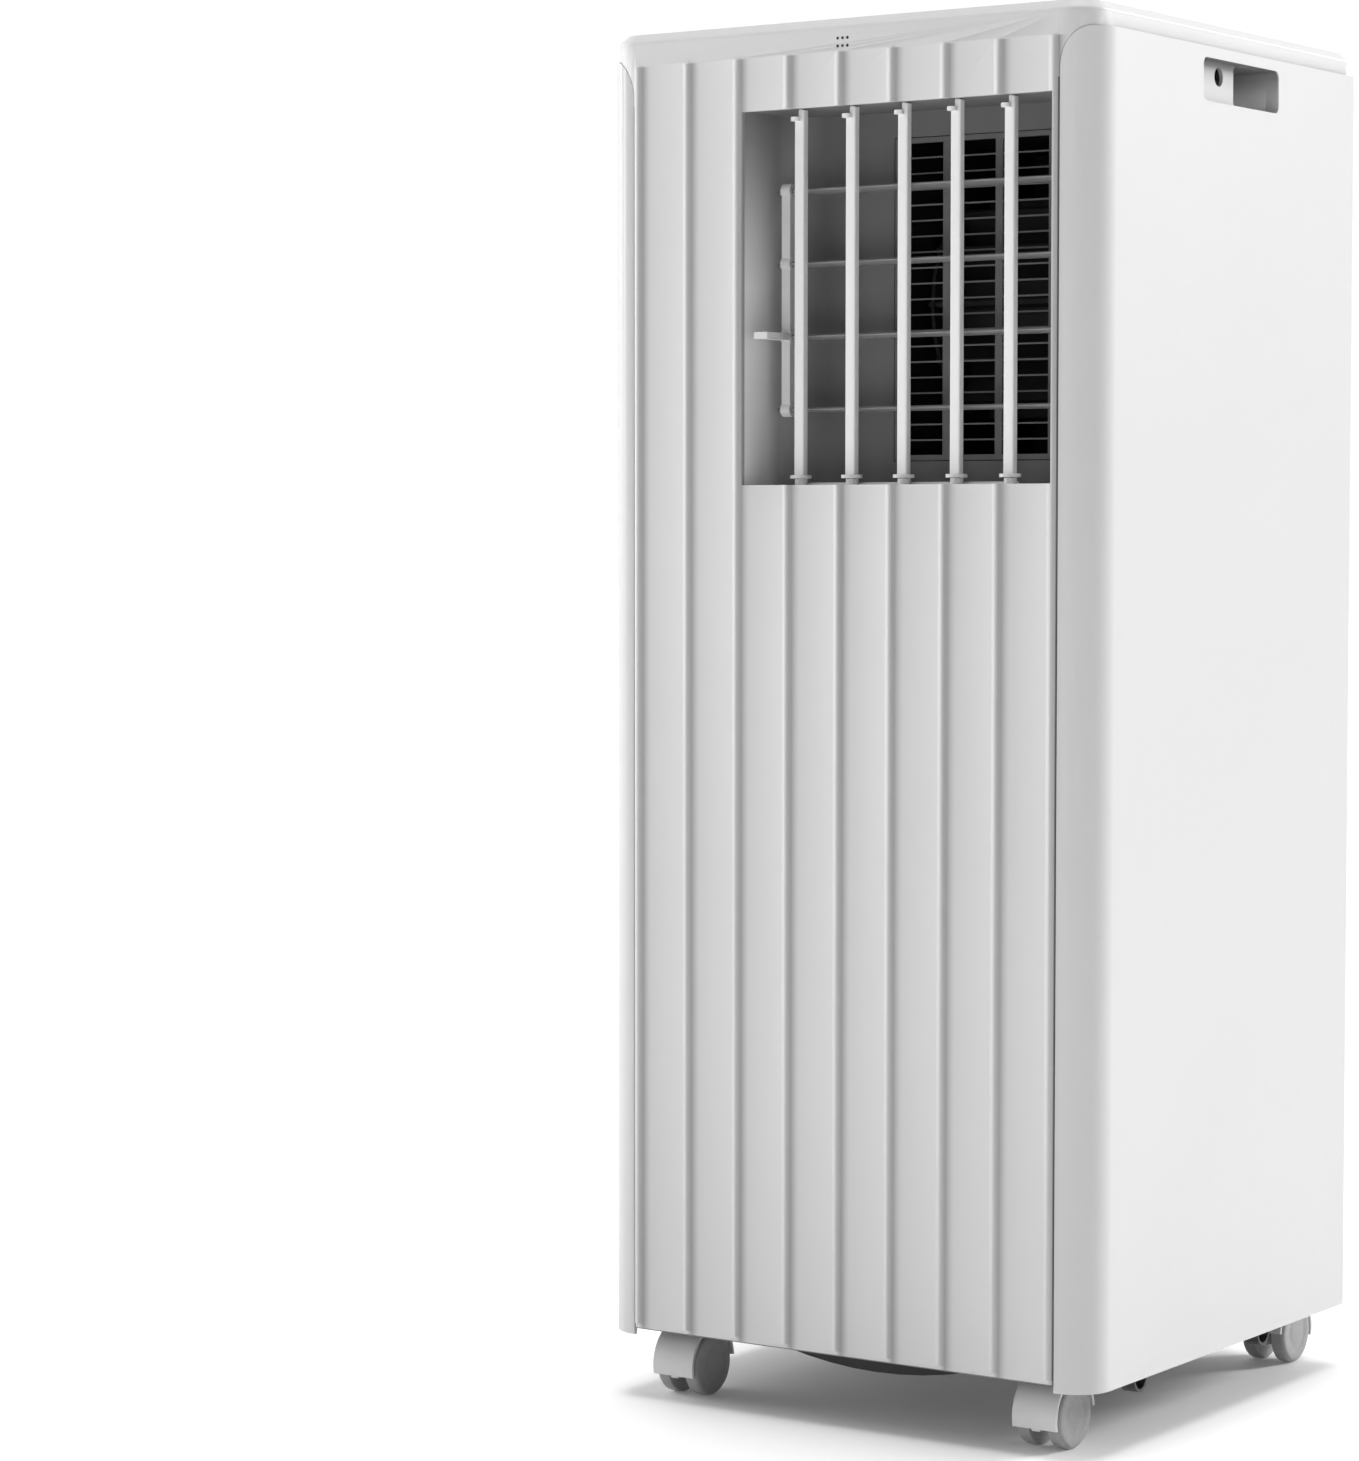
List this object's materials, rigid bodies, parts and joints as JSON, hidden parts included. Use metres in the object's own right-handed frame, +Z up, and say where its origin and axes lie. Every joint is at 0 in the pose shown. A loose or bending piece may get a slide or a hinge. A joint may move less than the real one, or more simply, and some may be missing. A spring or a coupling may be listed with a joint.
{
  "type": "portable air conditioner",
  "caption": "Tall portable air conditioner with a ribbed front, a louvred outlet with tilting blades, handle recesses, a key panel on top and swivelling casters.",
  "frame": {"origin": "on the floor under the middle of the bounding box", "axes": "+Z up; the front with the air outlet faces -Y; +X is the right side seen from the front"},
  "size_m": [0.2862, 0.3036, 0.6984],
  "materials": {
    "front_plastic": "fine-textured moulded white plastic",
    "shell_plastic": "satin moulded white plastic",
    "cover_plastic": "satin moulded white plastic",
    "rear_plastic": "textured moulded white plastic",
    "pan_plastic": "dark textured plastic",
    "duct_plastic": "matte grey plastic",
    "grille_plastic": "matte grey plastic",
    "blade_plastic": "satin white plastic",
    "link_plastic": "satin white plastic",
    "vane_plastic": "matte grey plastic",
    "tie_plastic": "matte light grey plastic",
    "key_plate_plastic": "glossy dark plastic",
    "display_lens": "dark clear plastic lens",
    "key_plastic": "satin white plastic",
    "board_laminate": "green circuit laminate",
    "wiring_plastic": "off-white plastic",
    "deck_plastic": "dark plastic",
    "fin_aluminium": "fine bare fins",
    "can_paint": "black enamel on steel",
    "pipe_copper": "bare copper",
    "volute_plastic": "dark plastic",
    "rotor_plastic": "black plastic",
    "motor_steel": "zinc-plated steel",
    "scroll_plastic": "dark plastic",
    "fan_plastic": "black plastic",
    "motor_case": "zinc-plated steel",
    "collar_plastic": "matte white plastic",
    "filter_plastic": "matte light grey plastic",
    "plug_rubber": "black rubber",
    "gland_rubber": "black rubber",
    "caster_plastic": "light grey plastic",
    "caster_wheel_plastic": "mid-grey plastic"
  },
  "bodies": {
    "cabinet": {"base_pan": "pan_plastic", "front_panel": "front_plastic", "top_cover": "cover_plastic", "side_shell_left": "shell_plastic", "side_shell_right": "shell_plastic", "rear_panel": "rear_plastic", "outlet_duct": "duct_plastic", "outlet_grille": "grille_plastic", "control_panel": "key_plate_plastic", "display_window": "display_lens", "control_board": "board_laminate", "electrical_box": "wiring_plastic", "compressor": "can_paint", "suction_pipe": "pipe_copper", "discharge_pipe": "pipe_copper", "condenser_coil": "fin_aluminium", "evaporator_coil": "fin_aluminium", "partition": "deck_plastic", "evaporator_housing": "volute_plastic", "evaporator_motor": "motor_steel", "condenser_housing": "scroll_plastic", "condenser_motor": "motor_case", "exhaust_collar": "collar_plastic", "cord_gland": "gland_rubber"},
    "vertical_blade_1": {"vertical_blade_1": "blade_plastic"},
    "vertical_blade_2": {"vertical_blade_2": "blade_plastic"},
    "vertical_blade_3": {"vertical_blade_3": "blade_plastic"},
    "vertical_blade_4": {"vertical_blade_4": "blade_plastic"},
    "vertical_blade_5": {"vertical_blade_5": "blade_plastic"},
    "vertical_link": {"vertical_link": "link_plastic"},
    "horizontal_blade_1": {"horizontal_blade_1": "vane_plastic"},
    "horizontal_blade_2": {"horizontal_blade_2": "vane_plastic"},
    "horizontal_blade_3": {"horizontal_blade_3": "vane_plastic"},
    "horizontal_blade_4": {"horizontal_blade_4": "vane_plastic"},
    "horizontal_tie": {"horizontal_tie": "tie_plastic"},
    "button_power": {"button_power": "key_plastic"},
    "button_mode": {"button_mode": "key_plastic"},
    "button_timer": {"button_timer": "key_plastic"},
    "button_fan": {"button_fan": "key_plastic"},
    "button_cooler": {"button_cooler": "key_plastic"},
    "button_warmer": {"button_warmer": "key_plastic"},
    "evaporator_wheel": {"evaporator_wheel": "rotor_plastic"},
    "condenser_wheel": {"condenser_wheel": "fan_plastic"},
    "upper_filter": {"upper_filter": "filter_plastic"},
    "lower_filter": {"lower_filter": "filter_plastic"},
    "drain_plug": {"drain_plug": "plug_rubber"},
    "caster_front_right": {"caster_frame_front_right": "caster_plastic"},
    "wheel_front_right_outer": {"wheel_front_right_outer": "caster_wheel_plastic"},
    "wheel_front_right_inner": {"wheel_front_right_inner": "caster_wheel_plastic"},
    "caster_front_left": {"caster_frame_front_left": "caster_plastic"},
    "wheel_front_left_outer": {"wheel_front_left_outer": "caster_wheel_plastic"},
    "wheel_front_left_inner": {"wheel_front_left_inner": "caster_wheel_plastic"},
    "caster_rear_right": {"caster_frame_rear_right": "caster_plastic"},
    "wheel_rear_right_outer": {"wheel_rear_right_outer": "caster_wheel_plastic"},
    "wheel_rear_right_inner": {"wheel_rear_right_inner": "caster_wheel_plastic"},
    "caster_rear_left": {"caster_frame_rear_left": "caster_plastic"},
    "wheel_rear_left_outer": {"wheel_rear_left_outer": "caster_wheel_plastic"},
    "wheel_rear_left_inner": {"wheel_rear_left_inner": "caster_wheel_plastic"}
  },
  "joints": [
    {"name": "vertical_1_turn", "type": "hinge", "parent": "cabinet", "child": "vertical_blade_1", "pos_m": [-0.031, -0.136, 0.56275], "axis": [0, 0, 1], "range_deg": [-35, 35]},
    {"name": "vertical_2_turn", "type": "hinge", "parent": "cabinet", "child": "vertical_blade_2", "pos_m": [-0.001, -0.136, 0.56275], "axis": [0, 0, 1], "range_deg": [-35, 35]},
    {"name": "vertical_3_turn", "type": "hinge", "parent": "cabinet", "child": "vertical_blade_3", "pos_m": [0.029, -0.136, 0.56275], "axis": [0, 0, 1], "range_deg": [-35, 35]},
    {"name": "vertical_4_turn", "type": "hinge", "parent": "cabinet", "child": "vertical_blade_4", "pos_m": [0.059, -0.136, 0.56275], "axis": [0, 0, 1], "range_deg": [-35, 35]},
    {"name": "vertical_5_turn", "type": "hinge", "parent": "cabinet", "child": "vertical_blade_5", "pos_m": [0.089, -0.136, 0.56275], "axis": [0, 0, 1], "range_deg": [-35, 35]},
    {"name": "vertical_link_turn", "type": "hinge", "parent": "vertical_blade_3", "child": "vertical_link", "pos_m": [0.029, -0.1308, 0.4702], "axis": [0, 0, 1], "range_deg": [-35, 35]},
    {"name": "horizontal_1_tilt", "type": "hinge", "parent": "cabinet", "child": "horizontal_blade_1", "pos_m": [0, -0.115, 0.6175], "axis": [1, 0, 0], "range_deg": [-25, 25]},
    {"name": "horizontal_2_tilt", "type": "hinge", "parent": "cabinet", "child": "horizontal_blade_2", "pos_m": [0, -0.115, 0.581], "axis": [1, 0, 0], "range_deg": [-25, 25]},
    {"name": "horizontal_3_tilt", "type": "hinge", "parent": "cabinet", "child": "horizontal_blade_3", "pos_m": [0, -0.115, 0.5445], "axis": [1, 0, 0], "range_deg": [-25, 25]},
    {"name": "horizontal_4_tilt", "type": "hinge", "parent": "cabinet", "child": "horizontal_blade_4", "pos_m": [0, -0.115, 0.508], "axis": [1, 0, 0], "range_deg": [-25, 25]},
    {"name": "horizontal_tie_turn", "type": "hinge", "parent": "horizontal_blade_3", "child": "horizontal_tie", "pos_m": [-0.045, -0.1255, 0.5445], "axis": [1, 0, 0], "range_deg": [-25, 25]},
    {"name": "button_power_press", "type": "slide", "parent": "cabinet", "child": "button_power", "axis": [0, 0, -1], "range_m": [0, 0.0008], "stiffness_N_per_m": 250, "springref_m": -0.0008},
    {"name": "button_mode_press", "type": "slide", "parent": "cabinet", "child": "button_mode", "axis": [0, 0, -1], "range_m": [0, 0.0008], "stiffness_N_per_m": 250, "springref_m": -0.0008},
    {"name": "button_timer_press", "type": "slide", "parent": "cabinet", "child": "button_timer", "axis": [0, 0, -1], "range_m": [0, 0.0008], "stiffness_N_per_m": 250, "springref_m": -0.0008},
    {"name": "button_fan_press", "type": "slide", "parent": "cabinet", "child": "button_fan", "axis": [0, 0, -1], "range_m": [0, 0.0008], "stiffness_N_per_m": 250, "springref_m": -0.0008},
    {"name": "button_cooler_press", "type": "slide", "parent": "cabinet", "child": "button_cooler", "axis": [0, 0, -1], "range_m": [0, 0.0008], "stiffness_N_per_m": 250, "springref_m": -0.0008},
    {"name": "button_warmer_press", "type": "slide", "parent": "cabinet", "child": "button_warmer", "axis": [0, 0, -1], "range_m": [0, 0.0008], "stiffness_N_per_m": 250, "springref_m": -0.0008},
    {"name": "evaporator_wheel_spin", "type": "hinge", "parent": "cabinet", "child": "evaporator_wheel", "pos_m": [0.06, -0.022, 0.561], "axis": [1, 0, 0], "continuous": true},
    {"name": "condenser_wheel_spin", "type": "hinge", "parent": "cabinet", "child": "condenser_wheel", "pos_m": [0.038, 0.048, 0.16], "axis": [0, 1, 0], "continuous": true},
    {"name": "upper_filter_pull", "type": "slide", "parent": "cabinet", "child": "upper_filter", "axis": [0, 1, 0], "range_m": [0, 0.06]},
    {"name": "lower_filter_pull", "type": "slide", "parent": "cabinet", "child": "lower_filter", "axis": [0, 1, 0], "range_m": [0, 0.06]},
    {"name": "drain_plug_pull", "type": "slide", "parent": "cabinet", "child": "drain_plug", "axis": [0, 1, 0], "range_m": [0, 0.04]},
    {"name": "caster_front_right_swivel", "type": "hinge", "parent": "cabinet", "child": "caster_front_right", "pos_m": [0.1065, -0.114, 0.04], "axis": [0, 0, 1], "continuous": true},
    {"name": "wheel_front_right_outer_spin", "type": "hinge", "parent": "caster_front_right", "child": "wheel_front_right_outer", "pos_m": [0.1065, -0.12, 0.0165], "axis": [1, 0, 0], "continuous": true},
    {"name": "wheel_front_right_inner_spin", "type": "hinge", "parent": "caster_front_right", "child": "wheel_front_right_inner", "pos_m": [0.1065, -0.12, 0.0165], "axis": [1, 0, 0], "continuous": true},
    {"name": "caster_front_left_swivel", "type": "hinge", "parent": "cabinet", "child": "caster_front_left", "pos_m": [-0.1065, -0.114, 0.04], "axis": [0, 0, 1], "continuous": true},
    {"name": "wheel_front_left_outer_spin", "type": "hinge", "parent": "caster_front_left", "child": "wheel_front_left_outer", "pos_m": [-0.1065, -0.12, 0.0165], "axis": [1, 0, 0], "continuous": true},
    {"name": "wheel_front_left_inner_spin", "type": "hinge", "parent": "caster_front_left", "child": "wheel_front_left_inner", "pos_m": [-0.1065, -0.12, 0.0165], "axis": [1, 0, 0], "continuous": true},
    {"name": "caster_rear_right_swivel", "type": "hinge", "parent": "cabinet", "child": "caster_rear_right", "pos_m": [0.1065, 0.119, 0.04], "axis": [0, 0, 1], "continuous": true},
    {"name": "wheel_rear_right_outer_spin", "type": "hinge", "parent": "caster_rear_right", "child": "wheel_rear_right_outer", "pos_m": [0.1065, 0.125, 0.0165], "axis": [1, 0, 0], "continuous": true},
    {"name": "wheel_rear_right_inner_spin", "type": "hinge", "parent": "caster_rear_right", "child": "wheel_rear_right_inner", "pos_m": [0.1065, 0.125, 0.0165], "axis": [1, 0, 0], "continuous": true},
    {"name": "caster_rear_left_swivel", "type": "hinge", "parent": "cabinet", "child": "caster_rear_left", "pos_m": [-0.1065, 0.119, 0.04], "axis": [0, 0, 1], "continuous": true},
    {"name": "wheel_rear_left_outer_spin", "type": "hinge", "parent": "caster_rear_left", "child": "wheel_rear_left_outer", "pos_m": [-0.1065, 0.125, 0.0165], "axis": [1, 0, 0], "continuous": true},
    {"name": "wheel_rear_left_inner_spin", "type": "hinge", "parent": "caster_rear_left", "child": "wheel_rear_left_inner", "pos_m": [-0.1065, 0.125, 0.0165], "axis": [1, 0, 0], "continuous": true}
  ],
  "couplings": [
    {"joint": "vertical_1_turn", "follows": "vertical_3_turn", "ratio": 1},
    {"joint": "vertical_2_turn", "follows": "vertical_3_turn", "ratio": 1},
    {"joint": "vertical_4_turn", "follows": "vertical_3_turn", "ratio": 1},
    {"joint": "vertical_5_turn", "follows": "vertical_3_turn", "ratio": 1},
    {"joint": "vertical_link_turn", "follows": "vertical_3_turn", "ratio": -1},
    {"joint": "horizontal_1_tilt", "follows": "horizontal_3_tilt", "ratio": 1},
    {"joint": "horizontal_2_tilt", "follows": "horizontal_3_tilt", "ratio": 1},
    {"joint": "horizontal_4_tilt", "follows": "horizontal_3_tilt", "ratio": 1},
    {"joint": "horizontal_tie_turn", "follows": "horizontal_3_tilt", "ratio": -1}
  ]
}
